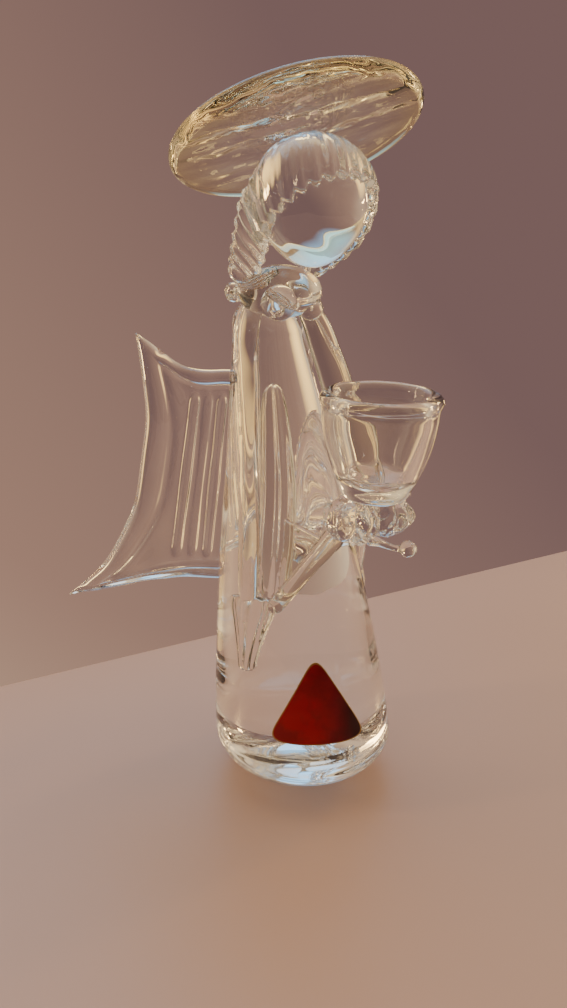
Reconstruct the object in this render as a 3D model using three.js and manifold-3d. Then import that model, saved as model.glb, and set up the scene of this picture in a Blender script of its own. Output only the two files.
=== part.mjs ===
// Glass angel holding an open candle cup. Millimetres, +Z up.
// The gown stands on z = 0, and the origin is under the middle of its widest ring.
// The figure faces -Y, and its right hand is at -X.
import * as THREE from 'three';
import { mergeVertices } from 'three/addons/utils/BufferGeometryUtils.js';
import Module from 'manifold-3d';

const wasm = await Module();
wasm.setup();

// Driving dimensions
const GAP = 0.3; // clear space left between two gathers that touch
const LABEL_THICKNESS = 0.3;
const SIDE = { right: -1, left: 1 }; // sign of X on each side of the figure

const GOWN = { foot: 27.4, footHeight: 15, footDepth: 16.2, neck: 10, neckHeight: 134, top: 144 };
const BULGE = { height: 1.6, skew: 0.8 }; // the gown's fullness, greatest a little below the middle
// The gown's middle drifts back as it rises, and its flat is set back too, under the centre of gravity
const LEAN = { start: 14, slope: 0.165, bend: 0.001, bendStart: 88, footBack: 4.4 };
const COLLAR = { at: [0, 17, 145.2], size: [13, 9.6, 6.6] };
const BEADS = {
  right: { at: [-6.6, 9.4, 143.6], radius: 4.6 },
  left: { at: [6.4, 11.2, 141.8], radius: 3.4 },
};
const HEAD = { at: [0, 4.4, 167.6], size: [14.2, 14.4, 15], chin: 0.16 };
const HAIR = { thickness: 2.4, lineHeight: 167.5, lineSlope: 0.84 }; // the hairline is a slanting plane
const CURL = { at: [8.8, 26.2, 145.6], size: [3.2, 3.2, 3.6] };
const HALO = { at: [0, 11.8, 184.4], radius: 33, edge: 4.4, middle: 6, tilt: 23.4 };
const CUP = { at: [0, -24.2, 96.4], height: 28.6, rim: 15.6, base: 7.6, wall: 2.9, floor: 5, lip: 2 };
const WING = { root: [9, 20], sweep: 50, thickness: 4.6, edge: 1.5 };
const HAND = { x: 5, y: -22.4, z: 90.4, spread: 0.6, palm: [6.4, 7.6, 4.8] };
const FINGERS = { degrees: [-55, -18, 18, 55], reach: [5, 6.2], rise: 2.2, size: [2.7, 2.7, 4] };
const HALF_SPACE = 70; // a cutting block larger than anything it cuts
const STRAP_AZIMUTH = 67.5; // where the right arm is laid on the gown, from the front round to the side
const LABEL = { azimuth: 28.6, low: 24.2, width: 28.4, height: 25.6, corner: 5, turn: 5 };

// Shades
const CLEAR = 0xe9ebe4;
const WARM = 0xe6e4d2;
const AMBER = 0xe8d38c;
const FOIL = 0x7d1915;

const radians = THREE.MathUtils.degToRad;

// Radius of the gown at height z: a rounded foot, then a long, slightly full taper
function gownRadius(z) {
  if (z < GOWN.footHeight) {
    const below = (GOWN.footHeight - z) / GOWN.footDepth;
    return GOWN.foot * Math.sqrt(1 - below * below);
  }
  const up = Math.min(1, (z - GOWN.footHeight) / (GOWN.neckHeight - GOWN.footHeight));
  const fullness = BULGE.height * Math.sin(Math.PI * up ** BULGE.skew);
  return GOWN.foot + (GOWN.neck - GOWN.foot) * up + fullness;
}

// How far back the gown's middle is at height z
function gownLean(z) {
  const below = Math.min(1, Math.max(0, 1 - z / LEAN.start));
  const rise = LEAN.slope * Math.max(0, z - LEAN.start);
  return LEAN.footBack * below * below + rise + LEAN.bend * Math.max(0, z - LEAN.bendStart) ** 2;
}

// A point on the gown, azimuth in degrees from the front towards the side, standing off by out
function onGown(side, azimuth, z, out) {
  const reach = gownRadius(z) + out;
  const turn = radians(azimuth);
  return [SIDE[side] * reach * Math.sin(turn), gownLean(z) - reach * Math.cos(turn), z];
}

// A closed three.js geometry as a solid that can be cut and joined
function solidOf(geometry) {
  const bare = geometry.index ? geometry.toNonIndexed() : geometry.clone();
  bare.deleteAttribute('normal');
  bare.deleteAttribute('uv');
  const merged = mergeVertices(bare, 1e-4);
  const mesh = new wasm.Mesh({
    numProp: 3,
    vertProperties: new Float32Array(merged.attributes.position.array),
    triVerts: new Uint32Array(merged.index.array),
  });
  mesh.merge();
  return new wasm.Manifold(mesh);
}

// The solid's surface as a three.js geometry
function geometryOf(solid) {
  const mesh = solid.getMesh();
  const geometry = new THREE.BufferGeometry();
  geometry.setAttribute('position', new THREE.BufferAttribute(mesh.vertProperties, 3));
  geometry.setIndex(new THREE.BufferAttribute(mesh.triVerts, 1));
  geometry.computeVertexNormals();
  return geometry;
}

// The solid less each neighbour, keeping its largest body
function carve(solid, neighbours) {
  const cut = neighbours.reduce((rest, neighbour) => rest.subtract(neighbour), solid);
  const bodies = cut.decompose();
  return bodies.reduce((best, body) => (body.volume() > best.volume() ? body : best));
}

// A ball stretched to three half-sizes
function ellipsoid(at, size, around = 20, rows = 12) {
  const geometry = new THREE.SphereGeometry(1, around, rows);
  geometry.rotateX(Math.PI / 2);
  geometry.scale(...size);
  geometry.translate(...at);
  return solidOf(geometry);
}

// A profile of [radius, height] turned about +Z
function turned(profile, around) {
  const geometry = new THREE.LatheGeometry(profile.map(([r, z]) => new THREE.Vector2(r, z)), around);
  geometry.rotateX(Math.PI / 2);
  return geometry;
}

// A trail of glass laid along stations {at, across, wide, thick}.
// The section is an ellipse, and both ends are round.
function trail(stations, { grow = 0, around = 12, along = 16, cap = 0.12 } = {}) {
  const path = new THREE.CatmullRomCurve3(stations.map((s) => new THREE.Vector3(...s.at)));
  const across = new THREE.CatmullRomCurve3(stations.map((s) => new THREE.Vector3(...s.across)));
  const section = new THREE.CatmullRomCurve3(stations.map((s) => new THREE.Vector3(s.wide, s.thick, 0)));
  const geometry = new THREE.SphereGeometry(1, around, along);
  const position = geometry.attributes.position;
  const vertex = new THREE.Vector3();
  for (let i = 0; i < position.count; i += 1) {
    vertex.fromBufferAttribute(position, i);
    const t = Math.acos(THREE.MathUtils.clamp(vertex.y, -1, 1)) / Math.PI;
    const along01 = (1 - Math.cos(Math.PI * t)) / 2;
    const place = THREE.MathUtils.lerp(t, along01, 0.6);
    const nearEnd = Math.min(1, Math.min(place, 1 - place) / cap);
    const ring = Math.hypot(vertex.x, vertex.z);
    const round = ring < 1e-6 ? 0 : Math.sqrt(1 - (1 - nearEnd) ** 2) / ring;
    const tangent = path.getTangent(place);
    const wideAxis = across.getPoint(place).addScaledVector(tangent, -across.getPoint(place).dot(tangent));
    wideAxis.normalize();
    const thickAxis = tangent.clone().cross(wideAxis);
    const size = section.getPoint(place);
    const point = path.getPoint(place);
    point.addScaledVector(wideAxis, vertex.x * round * (size.x / 2 + grow));
    point.addScaledVector(thickAxis, vertex.z * round * (size.y / 2 + grow));
    point.addScaledVector(tangent, -vertex.y * grow);
    position.setXYZ(i, point.x, point.y, point.z);
  }
  return solidOf(geometry);
}

function body(grow = 0) {
  const profile = [[0, -grow], [gownRadius(0) + grow / 2, -grow]];
  const footSteps = 6;
  for (let i = 1; i < footSteps; i += 1) {
    const turn = (Math.PI / 2) * (i / footSteps);
    const z = GOWN.footHeight * (1 - Math.cos(turn));
    profile.push([gownRadius(z) + grow, z]);
  }
  const tallSteps = 10;
  for (let i = 0; i <= tallSteps; i += 1) {
    const z = THREE.MathUtils.lerp(GOWN.footHeight, GOWN.neckHeight, i / tallSteps);
    profile.push([gownRadius(z) + grow, z]);
  }
  const domeSteps = 4;
  for (let i = 1; i <= domeSteps; i += 1) {
    const turn = (Math.PI / 2) * (i / domeSteps);
    const z = GOWN.neckHeight + (GOWN.top - GOWN.neckHeight + grow) * Math.sin(turn);
    profile.push([i === domeSteps ? 0 : (GOWN.neck + grow) * Math.cos(turn), z]);
  }
  const geometry = turned(profile, 36);
  const position = geometry.attributes.position;
  for (let i = 0; i < position.count; i += 1) {
    position.setY(i, position.getY(i) + gownLean(position.getZ(i)));
  }
  return solidOf(geometry);
}

function collar(grow = 0) {
  return ellipsoid(COLLAR.at, COLLAR.size.map((half) => half + grow), 24, 12);
}

function shoulderBead(side, grow = 0) {
  const { at, radius } = BEADS[side];
  return ellipsoid(at, [radius + grow, radius + grow, radius + grow], 16, 12);
}

// An ovoid that narrows to the chin
function head(grow = 0) {
  const geometry = new THREE.SphereGeometry(1, 26, 16);
  geometry.rotateX(Math.PI / 2);
  const position = geometry.attributes.position;
  for (let i = 0; i < position.count; i += 1) {
    const narrow = 1 - HEAD.chin * Math.max(0, -position.getZ(i)) ** 1.5;
    position.setX(i, position.getX(i) * narrow);
    position.setY(i, position.getY(i) * narrow);
  }
  geometry.scale(...HEAD.size.map((half) => half + grow));
  geometry.translate(...HEAD.at);
  return solidOf(geometry);
}

// The ribbon's ends. The right lock hangs behind the jaw.
// The left one comes forward along the cheek first.
const LOCKS = {
  right: [
    { at: [-13.2, 5.5, 176.5], across: [-0.1, 0.9, 0.3], wide: 6.5, thick: 2.6 },
    { at: [-15.2, 7, 168.5], across: [-0.25, 0.95, 0.2], wide: 10.4, thick: 3.2 },
    { at: [-14, 11.4, 160.4], across: [-0.5, 0.8, 0.3], wide: 9.6, thick: 3.4 },
    { at: [-11.8, 16.8, 153.6], across: [-0.65, 0.65, 0.4], wide: 8.6, thick: 3.4 },
    { at: [-9.4, 22.6, 148], across: [-0.6, 0.5, 0.6], wide: 6.6, thick: 3.4 },
  ],
  left: [
    { at: [12.6, -2.6, 175.5], across: [0.2, 0.9, 0.3], wide: 6.5, thick: 2.6 },
    { at: [13.6, -1.4, 168], across: [0.35, 0.9, 0.2], wide: 8.6, thick: 3.2 },
    { at: [12.8, 1.6, 161.6], across: [0.35, 0.8, 0.4], wide: 8.6, thick: 3.2 },
    { at: [11.2, 7.2, 156.6], across: [0.35, 0.7, 0.6], wide: 7.6, thick: 3.2 },
    { at: [9.8, 14, 152], across: [0.5, 0.6, 0.6], wide: 6.6, thick: 3.3 },
    { at: [9.2, 21.5, 148], across: [0.6, 0.5, 0.6], wide: 5.8, thick: 3.3 },
  ],
};

// A crimped ribbon over the head: a thin cap above the hairline, with a lock hanging at each side
function hair(grow = 0) {
  const above = new THREE.BoxGeometry(HALF_SPACE, HALF_SPACE, HALF_SPACE);
  above.translate(0, 0, HALF_SPACE / 2 - grow);
  above.rotateX(-Math.atan(HAIR.lineSlope));
  above.translate(0, 0, HAIR.lineHeight);
  const cap = head(HAIR.thickness + grow).intersect(solidOf(above));
  const shape = { grow, around: 12, along: 14, cap: 0.1 };
  return Object.values(LOCKS).reduce((ribbon, stations) => ribbon.add(trail(stations, shape)), cap);
}

function curl(side, grow = 0) {
  const [x, y, z] = CURL.at;
  return ellipsoid([SIDE[side] * x, y, z], CURL.size.map((half) => half + grow), 14, 10);
}

// A flat round cake of glass, a little thicker in the middle, with its front edge lifted
function halo(grow = 0) {
  const half = HALO.edge / 2;
  const crown = HALO.middle / 2 - half;
  const flatReach = HALO.radius - half;
  const edgeSteps = 6;
  const edge = [];
  for (let i = 0; i <= edgeSteps; i += 1) {
    const turn = -Math.PI / 2 + Math.PI * (i / edgeSteps);
    edge.push([flatReach + (half + grow) * Math.cos(turn), (half + grow) * Math.sin(turn)]);
  }
  const dome = [0.33, 0.66].map((part) => [flatReach * part, half + grow + crown * (1 - part * part)]);
  const under = dome.map(([r, z]) => [r, -z]);
  const over = [...dome].reverse();
  const middle = half + crown + grow;
  const geometry = turned([[0, -middle], ...under, ...edge, ...over, [0, middle]], 40);
  geometry.rotateX(radians(-HALO.tilt));
  geometry.translate(...HALO.at);
  return solidOf(geometry);
}

// An open beaker with a round bottom, a thick wall and a rolled lip
function cup(grow = 0) {
  const top = CUP.height - 2 * CUP.lip;
  const reach = CUP.rim - CUP.lip + CUP.wall / 2;
  const fullness = (z) => 1 - (1 - z / CUP.height) ** 2.2;
  const outside = (z) => CUP.base + (reach - CUP.base) * fullness(z);
  const steps = 6;
  const outer = [[0, -grow], [CUP.base * 0.7, 0.3 - grow]];
  const inner = [];
  for (let i = 0; i <= steps; i += 1) {
    const z = THREE.MathUtils.lerp(1.8, top, i / steps);
    outer.push([outside(z) + grow, z]);
  }
  for (let i = 0; i <= steps; i += 1) {
    const z = THREE.MathUtils.lerp(top, CUP.floor + 2.2, i / steps);
    inner.push([outside(z) - CUP.wall - grow, z]);
  }
  const lip = [];
  const lipSteps = 6;
  for (let i = 0; i <= lipSteps; i += 1) {
    const turn = Math.PI * (i / lipSteps);
    const r = CUP.rim - CUP.lip + (CUP.lip + grow) * Math.cos(turn);
    lip.push([r, CUP.height - CUP.lip + (CUP.lip + grow) * Math.sin(turn)]);
  }
  const bowl = [[CUP.base * 0.45, CUP.floor + 0.4], [0, CUP.floor]];
  const geometry = turned([...outer, ...lip, ...inner, ...bowl], 28);
  geometry.translate(...CUP.at);
  return solidOf(geometry);
}

// The wing's outline in its own plane: x away from the body, y up. Every side is drawn in between two points.
function wingOutline() {
  const shape = new THREE.Shape();
  shape.moveTo(-2, 58);
  shape.lineTo(-2, 124.5);
  shape.lineTo(6, 124.2);
  shape.quadraticCurveTo(19, 124, 31.5, 134.2);
  shape.bezierCurveTo(25.5, 110, 30, 82, 55.6, 51.6);
  shape.quadraticCurveTo(30, 58.5, 9, 59);
  shape.closePath();
  return shape;
}

function wing(side) {
  const geometry = new THREE.ExtrudeGeometry(wingOutline(), {
    depth: WING.thickness - 2 * WING.edge,
    bevelThickness: WING.edge,
    bevelSize: WING.edge,
    bevelOffset: -WING.edge,
    bevelSegments: 2,
    curveSegments: 10,
  });
  geometry.translate(0, 0, WING.edge - WING.thickness / 2);
  const sweep = radians(WING.sweep);
  const away = new THREE.Vector3(SIDE[side] * Math.sin(sweep), Math.cos(sweep), 0);
  const up = new THREE.Vector3(0, 0, 1);
  const plane = new THREE.Matrix4().makeBasis(away, up, away.clone().cross(up));
  geometry.applyMatrix4(plane);
  geometry.translate(SIDE[side] * WING.root[0], WING.root[1], 0);
  return solidOf(geometry);
}

// Tangent to the gown at an azimuth, running from the front to the side
function roundGown(side, azimuth) {
  return [SIDE[side] * Math.cos(radians(azimuth)), Math.sin(radians(azimuth)), 0];
}

// The right arm hangs straight down the gown from shoulder to elbow
function rightUpperArm(grow = 0) {
  const heights = [139, 128, 114, 98, 82, 66];
  const stations = heights.map((z, i) => ({
    at: onGown('right', STRAP_AZIMUTH, z, i === 0 ? 1.4 : 2.2),
    across: roundGown('right', STRAP_AZIMUTH),
    wide: i === 0 ? 6 : 6.4,
    thick: 5.4,
  }));
  return trail(stations, { grow, along: 14, cap: 0.07 });
}

// The draped sleeve in front of it: a long pleated leaf
function rightSleeve(grow = 0) {
  const leaf = [
    { z: 120, azimuth: 40, wide: 4, out: 0.6 },
    { z: 110, azimuth: 41, wide: 7.4, out: 1 },
    { z: 96, azimuth: 43, wide: 8.6, out: 1 },
    { z: 82, azimuth: 47, wide: 9.2, out: 1.1 },
    { z: 67, azimuth: 52, wide: 7.6, out: 1.6 },
  ];
  const stations = leaf.map(({ z, azimuth, wide, out }) => ({
    at: onGown('right', azimuth, z, out),
    across: roundGown('right', azimuth),
    wide,
    thick: 4.6,
  }));
  return trail(stations, { grow, along: 14, cap: 0.1 });
}

// The rod from the elbow up to the wrist
function rightForearm(grow = 0) {
  const stations = [
    { at: [-20, -8.2, 64.5], across: [0.5, -0.5, 0.6], wide: 5, thick: 5 },
    { at: [-16, -12, 72], across: [0.5, -0.5, 0.6], wide: 5, thick: 4.6 },
    { at: [-11.5, -15.8, 80], across: [0.5, -0.5, 0.6], wide: 5.2, thick: 4.8 },
    { at: [-7.5, -19, 86.5], across: [0.5, -0.5, 0.6], wide: 6, thick: 5.4 },
  ];
  return trail(stations, { grow, along: 12, cap: 0.14 });
}

// The thin web stretched between the sleeve's front edge and the forearm
function rightWeb(grow = 0) {
  const stations = [
    { at: [-18.4, -7, 69], across: [0.4, -0.9, 0.2], wide: 4, thick: 2.8 },
    { at: [-14.6, -8.6, 77], across: [0.4, -0.9, 0.1], wide: 10, thick: 2.8 },
    { at: [-11, -10, 85], across: [0.4, -0.9, 0], wide: 16, thick: 2.8 },
  ];
  return trail(stations, { grow, along: 12, cap: 0.08 });
}

function rightSleeveTip(grow = 0) {
  const stations = [
    { at: onGown('right', 67, 63.5, 1.6), across: roundGown('right', 67), wide: 12, thick: 4.4 },
    { at: onGown('right', 69, 58, 1.4), across: roundGown('right', 69), wide: 9.4, thick: 4.4 },
    { at: onGown('right', 71.5, 51, 1.2), across: roundGown('right', 71), wide: 6, thick: 4.2 },
    { at: onGown('right', 73, 43.6, 1.0), across: roundGown('right', 73), wide: 4.4, thick: 4 },
  ];
  return trail(stations, { grow, along: 12, cap: 0.14 });
}

// The left arm is held further forward and goes straight to the cup
function leftUpperArm(grow = 0) {
  const stations = [
    { at: [8, 12.4, 139], across: [0.7, -0.6, 0.2], wide: 6.4, thick: 5 },
    { at: [9, 5.4, 127], across: [0.7, -0.6, 0.2], wide: 8.4, thick: 4.8 },
    { at: [9.8, -2.6, 113], across: [0.7, -0.6, 0.1], wide: 8.6, thick: 4.6 },
    { at: [9.6, -11, 100], across: [0.7, -0.5, 0], wide: 7.6, thick: 4.8 },
    { at: [8, -18, 92], across: [0.7, -0.4, 0], wide: 6.4, thick: 5.2 },
  ];
  return trail(stations, { grow, along: 14, cap: 0.1 });
}

function leftSleeve(grow = 0) {
  const stations = [
    { at: [15.6, -1.4, 87], across: [0.4, -0.8, 0.1], wide: 4, thick: 3.2 },
    { at: [16.8, -1.2, 80], across: [0.4, -0.8, 0.2], wide: 6.2, thick: 3.4 },
    { at: [18.2, -0.4, 71], across: [0.4, -0.8, 0.3], wide: 6.4, thick: 3.6 },
    { at: [19.6, 0.8, 63], across: [0.4, -0.8, 0.2], wide: 5.4, thick: 3.6 },
  ];
  return trail(stations, { grow, along: 12, cap: 0.12 });
}

function leftSleeveTip(grow = 0) {
  const stations = [
    { at: onGown('left', 78, 61.4, 0.6), across: roundGown('left', 78), wide: 6.4, thick: 3.8 },
    { at: onGown('left', 79, 55, 0.7), across: roundGown('left', 79), wide: 5.6, thick: 3.8 },
    { at: onGown('left', 81, 48, 0.6), across: roundGown('left', 81), wide: 4.4, thick: 3.6 },
  ];
  return trail(stations, { grow, along: 10, cap: 0.16 });
}

// A pincered pad: a palm under the cup with a row of finger lumps round its outer edge
function hand(side, grow = 0) {
  const sign = SIDE[side];
  const middle = [sign * HAND.x, HAND.y - HAND.spread * sign, HAND.z];
  const palm = ellipsoid(middle, HAND.palm.map((half) => half + grow), 14, 8);
  const [reachX, reachY] = FINGERS.reach;
  const fingers = FINGERS.degrees.map((degrees) => {
    const turn = radians(degrees);
    const x = middle[0] + sign * reachX * Math.cos(turn);
    const y = middle[1] - reachY * Math.sin(turn);
    return ellipsoid([x, y, middle[2] + FINGERS.rise], FINGERS.size.map((half) => half + grow), 8, 6);
  });
  return fingers.reduce((pad, finger) => pad.add(finger), palm);
}

function tailDrop(grow = 0) {
  const thread = trail([
    { at: [-0.6, -26.4, 85.8], across: [1, 0, 0], wide: 2.8, thick: 2.8 },
    { at: [1.6, -29.4, 84.8], across: [1, 0, 0], wide: 2, thick: 2 },
    { at: [3.8, -32, 84.4], across: [1, 0, 0], wide: 2, thick: 2 },
  ], { grow, around: 8, along: 8, cap: 0.1 });
  return thread.add(ellipsoid([4.6, -33, 84.4], [2.3 + grow, 2.3 + grow, 2.3 + grow], 10, 8));
}

// A three-cornered foil bent round the gown: a prism aimed at the axis, kept only just above the glass
function label() {
  const half = LABEL.width / 2;
  const corners = [[-half, 0], [half, 0], [0, LABEL.height]].map(([x, y]) => new THREE.Vector2(x, y));
  const shape = new THREE.Shape();
  corners.forEach((corner, i) => {
    const before = corners[(i + 2) % 3].clone().sub(corner).setLength(LABEL.corner).add(corner);
    const after = corners[(i + 1) % 3].clone().sub(corner).setLength(LABEL.corner).add(corner);
    if (i === 0) shape.moveTo(before.x, before.y);
    else shape.lineTo(before.x, before.y);
    shape.quadraticCurveTo(corner.x, corner.y, after.x, after.y);
  });
  shape.closePath();
  const prism = { depth: HALF_SPACE, bevelEnabled: false, curveSegments: 4 };
  const geometry = new THREE.ExtrudeGeometry(shape, prism);
  geometry.rotateZ(radians(-LABEL.turn));
  geometry.rotateX(Math.PI / 2);
  geometry.rotateZ(radians(-LABEL.azimuth));
  geometry.translate(0, gownLean(LABEL.low), LABEL.low);
  return solidOf(geometry).intersect(body(GAP + LABEL_THICKNESS));
}

const angel = new THREE.Group();

// A group for one part of the figure
function section(parent) {
  const group = new THREE.Group();
  parent.add(group);
  return group;
}

function piece(group, name, solid, colour, roughness = 0.05) {
  const material = new THREE.MeshStandardMaterial({ color: colour, roughness, metalness: 0 });
  const mesh = new THREE.Mesh(geometryOf(solid), material);
  mesh.name = name;
  group.add(mesh);
}

const gown = body(GAP);
const gownGroup = section(angel);
piece(gownGroup, 'body', body(), WARM);
piece(gownGroup, 'label', carve(label(), [gown]), FOIL, 0.4);

const headGroup = section(angel);
piece(headGroup, 'head', head(), CLEAR);
piece(headGroup, 'collar', carve(collar(), [gown, head(GAP)]), CLEAR);
const headAndCollar = [head(GAP), collar(GAP)];
piece(headGroup, 'hair', carve(hair(), [...headAndCollar, gown]), CLEAR);
piece(headGroup, 'halo', carve(halo(), [...headAndCollar, hair(GAP)]), AMBER);

const cupGroup = section(angel);
piece(cupGroup, 'cup', cup(), CLEAR);

for (const side of Object.keys(SIDE)) {
  const curlCutters = [hair(GAP), collar(GAP), gown];
  piece(headGroup, `${side}_curl`, carve(curl(side), curlCutters), CLEAR);
  const beadCutters = [...headAndCollar, gown];
  piece(gownGroup, `${side}_shoulder_bead`, carve(shoulderBead(side), beadCutters), CLEAR);
}

// The arms are laid on in this order, so each is cut by what is already there
const armGroup = section(angel);
const laid = {
  right: [gown, collar(GAP), shoulderBead('right', GAP), curl('right', GAP)],
  left: [gown, collar(GAP), shoulderBead('left', GAP), curl('left', GAP)],
};

function layOn(side, name, make) {
  piece(armGroup, `${side}_${name}`, carve(make(), [...laid[side], cup(GAP)]), CLEAR);
  laid[side].push(make(GAP));
}

layOn('right', 'hand', (grow) => hand('right', grow));
laid.left.push(hand('right', GAP));
layOn('left', 'hand', (grow) => hand('left', grow));
layOn('right', 'upper_arm', rightUpperArm);
layOn('right', 'forearm', rightForearm);
layOn('right', 'sleeve', rightSleeve);
layOn('right', 'web', rightWeb);
layOn('right', 'sleeve_tip', rightSleeveTip);
layOn('left', 'upper_arm', leftUpperArm);
layOn('left', 'sleeve', leftSleeve);
layOn('left', 'sleeve_tip', leftSleeveTip);
piece(cupGroup, 'tail_drop', carve(tailDrop(), [...laid.right, ...laid.left, cup(GAP)]), CLEAR);

const wingGroup = section(angel);
piece(wingGroup, 'right_wing', carve(wing('right'), laid.right), CLEAR);
piece(wingGroup, 'left_wing', carve(wing('left'), laid.left), CLEAR);

export default angel;
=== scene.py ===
import math
import bpy
import numpy as np
from mathutils import Matrix
from mathutils.bvhtree import BVHTree


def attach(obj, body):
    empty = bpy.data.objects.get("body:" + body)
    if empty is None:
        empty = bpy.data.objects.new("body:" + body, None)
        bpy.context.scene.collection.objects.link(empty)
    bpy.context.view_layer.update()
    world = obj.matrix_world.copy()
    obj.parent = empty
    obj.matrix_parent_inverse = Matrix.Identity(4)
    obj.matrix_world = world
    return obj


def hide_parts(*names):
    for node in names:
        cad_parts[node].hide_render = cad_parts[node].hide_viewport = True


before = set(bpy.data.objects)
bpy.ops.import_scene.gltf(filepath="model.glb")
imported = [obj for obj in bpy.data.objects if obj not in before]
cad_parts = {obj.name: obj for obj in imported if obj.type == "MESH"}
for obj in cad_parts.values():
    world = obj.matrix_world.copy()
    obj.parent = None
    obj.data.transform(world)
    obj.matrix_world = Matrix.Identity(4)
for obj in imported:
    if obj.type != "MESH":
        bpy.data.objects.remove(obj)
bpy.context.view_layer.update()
print("frame loaded:", len(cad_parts), "nodes")

# Shapes are in millimetres, in the frame's own axes, and closedMesh turns them into metres.
# The gold rim's place, the lamps and the camera are in metres.
millimetre = 0.001
sideSign = {"right": -1, "left": 1}


def spline(values, t):
    # Catmull-Rom: each span is a cubic through its two ends, its slopes set by the points either side
    values = np.asarray(values, float)
    padded = np.vstack([2 * values[:1] - values[1:2], values, 2 * values[-1:] - values[-2:-1]])
    place = np.clip(t, 0, 1) * (len(values) - 1)
    span = np.minimum(place.astype(int), len(values) - 2)
    f = (place - span)[:, None]
    p0, p1, p2, p3 = (padded[span + k] for k in range(4))
    bend = (2 * p0 - 5 * p1 + 4 * p2 - p3) * f ** 2 + (3 * p1 - p0 - 3 * p2 + p3) * f ** 3
    return 0.5 * (2 * p1 + (p2 - p0) * f + bend)


def unit(vectors):
    # Each vector divided by its own length
    return vectors / np.maximum(np.linalg.norm(vectors, axis=-1, keepdims=True), 1e-9)


def waver(points, wavelength, seed, waves=7, gain=1.8):
    # Hand-worked unevenness of about -1 to 1: a mean of sine waves in random directions, times a gain
    rng = np.random.default_rng(seed)
    direction = unit(rng.normal(size=(waves, 3))) / (wavelength * rng.uniform(0.7, 1.5, (waves, 1)))
    phase = rng.uniform(0, 2 * math.pi, waves)
    return np.sin(points @ direction.T * 2 * math.pi + phase).mean(-1) * gain


def gridNormals(points):
    # Cross product of the slopes along rows and round columns
    alongRows = np.gradient(points, axis=0)
    roundColumns = np.roll(points, -1, axis=1) - np.roll(points, 1, axis=1)
    return unit(np.cross(alongRows, roundColumns))


def uneven(points, amount, wavelength, seed):
    # The surface moved along its normals by a smooth waver
    return points + gridNormals(points) * (waver(points, wavelength, seed) * amount)[..., None]


def roundGrid(rows, columns):
    # Directions out from a middle: the polar angle steps down the rows, and the columns turn about +Z
    polar = np.linspace(0, math.pi, rows)[:, None]
    angle = np.linspace(0, 2 * math.pi, columns, endpoint=False)[None]
    level = np.sin(polar)
    return np.stack([level * np.cos(angle), level * np.sin(angle), np.cos(polar) + 0 * angle], -1)


def trail(stations, rows, columns, cap=0.1, square=1.0, pleats=0, pleatDepth=0.0,
          crimps=0, crimpDepth=0.0, crimpSlant=0.0, crimpFace=1):
    # A profile carried along a path. Each station is a place, the way its width runs, a width and
    # a thickness. The section is a superellipse, and each end closes as a quarter circle over the cap.
    # Pleats are a cosine round the section. Crimps are slanting ridges on one face only.
    turn = np.linspace(0, math.pi, rows)
    # Part of the rows are evenly spaced, and part crowd towards the ends by a cosine
    evenShare, crowdedShare = 0.45, 0.55
    t = evenShare * turn / math.pi + crowdedShare * (1 - np.cos(turn)) / 2
    places, widthWays, wides, thicks = zip(*stations)
    centre = spline(places, t)
    tangent = unit(np.gradient(centre, axis=0))
    across = spline(widthWays, t)
    across = unit(across - tangent * (across * tangent).sum(-1, keepdims=True))
    outward = np.cross(across, tangent)
    size = spline(np.column_stack([wides, thicks]), t) / 2
    nearEnd = np.minimum(1, np.minimum(t, 1 - t) / cap)
    closing = np.sqrt(np.maximum(0, 1 - (1 - nearEnd) ** 2))
    angle = np.linspace(0, 2 * math.pi, columns, endpoint=False)
    x = np.sign(np.cos(angle)) * np.abs(np.cos(angle)) ** square
    y = np.sign(np.sin(angle)) * np.abs(np.sin(angle)) ** square
    ripple = 1 + pleatDepth * np.cos(pleats * angle)[None, :] * closing[:, None]
    crimpPhase = 2 * math.pi * crimps * t[:, None] + crimpSlant * np.cos(angle)[None, :]
    ridge = crimpDepth * (1 - 2 * np.abs(np.sin(crimpPhase / 2))) * closing[:, None]
    onFace = np.clip(crimpFace * np.sin(angle) * 2, 0, 1)[None, :]
    # The ridges swell the width a little as well
    sideways = x[None] * size[:, :1] * closing[:, None] * (ripple + 0.2 * ridge)
    through = y[None] * size[:, 1:] * closing[:, None] * (ripple + ridge * onFace)
    return centre[:, None] + across[:, None] * sideways[..., None] + outward[:, None] * through[..., None]


def turned(profile, columns, steps):
    # A smooth profile of [radius, height] points turned about +Z, closed at both ends on the axis
    line = spline(profile, np.linspace(0, 1, steps))
    line[:, 0] = np.maximum(line[:, 0], 0)
    line[[0, -1], 0] = 0
    angle = np.linspace(0, 2 * math.pi, columns, endpoint=False)
    x = line[:, :1] * np.cos(angle)
    y = line[:, :1] * np.sin(angle)
    z = np.repeat(line[:, 1:], columns, axis=1)
    return np.stack([x, y, z], axis=-1)


def plate(outline, half, rows, columns):
    # A closed plate: rows run from the middle of one face out to the edge, and back to the middle of
    # the other, crowding at the edge. outline(angle, reach) gives a place in the plate's plane and
    # its distance in from the edge, and half(flat, inset) gives half the thickness there.
    reach = np.sin(np.linspace(0, math.pi, rows)) ** 0.7
    side = np.sign(np.linspace(1, -1, rows))
    angle = np.linspace(0, 2 * math.pi, columns, endpoint=False)
    flat, inset = outline(angle[None, :], reach[:, None])
    return flat, side[:, None] * half(flat, inset)


glassPieces = []


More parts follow.
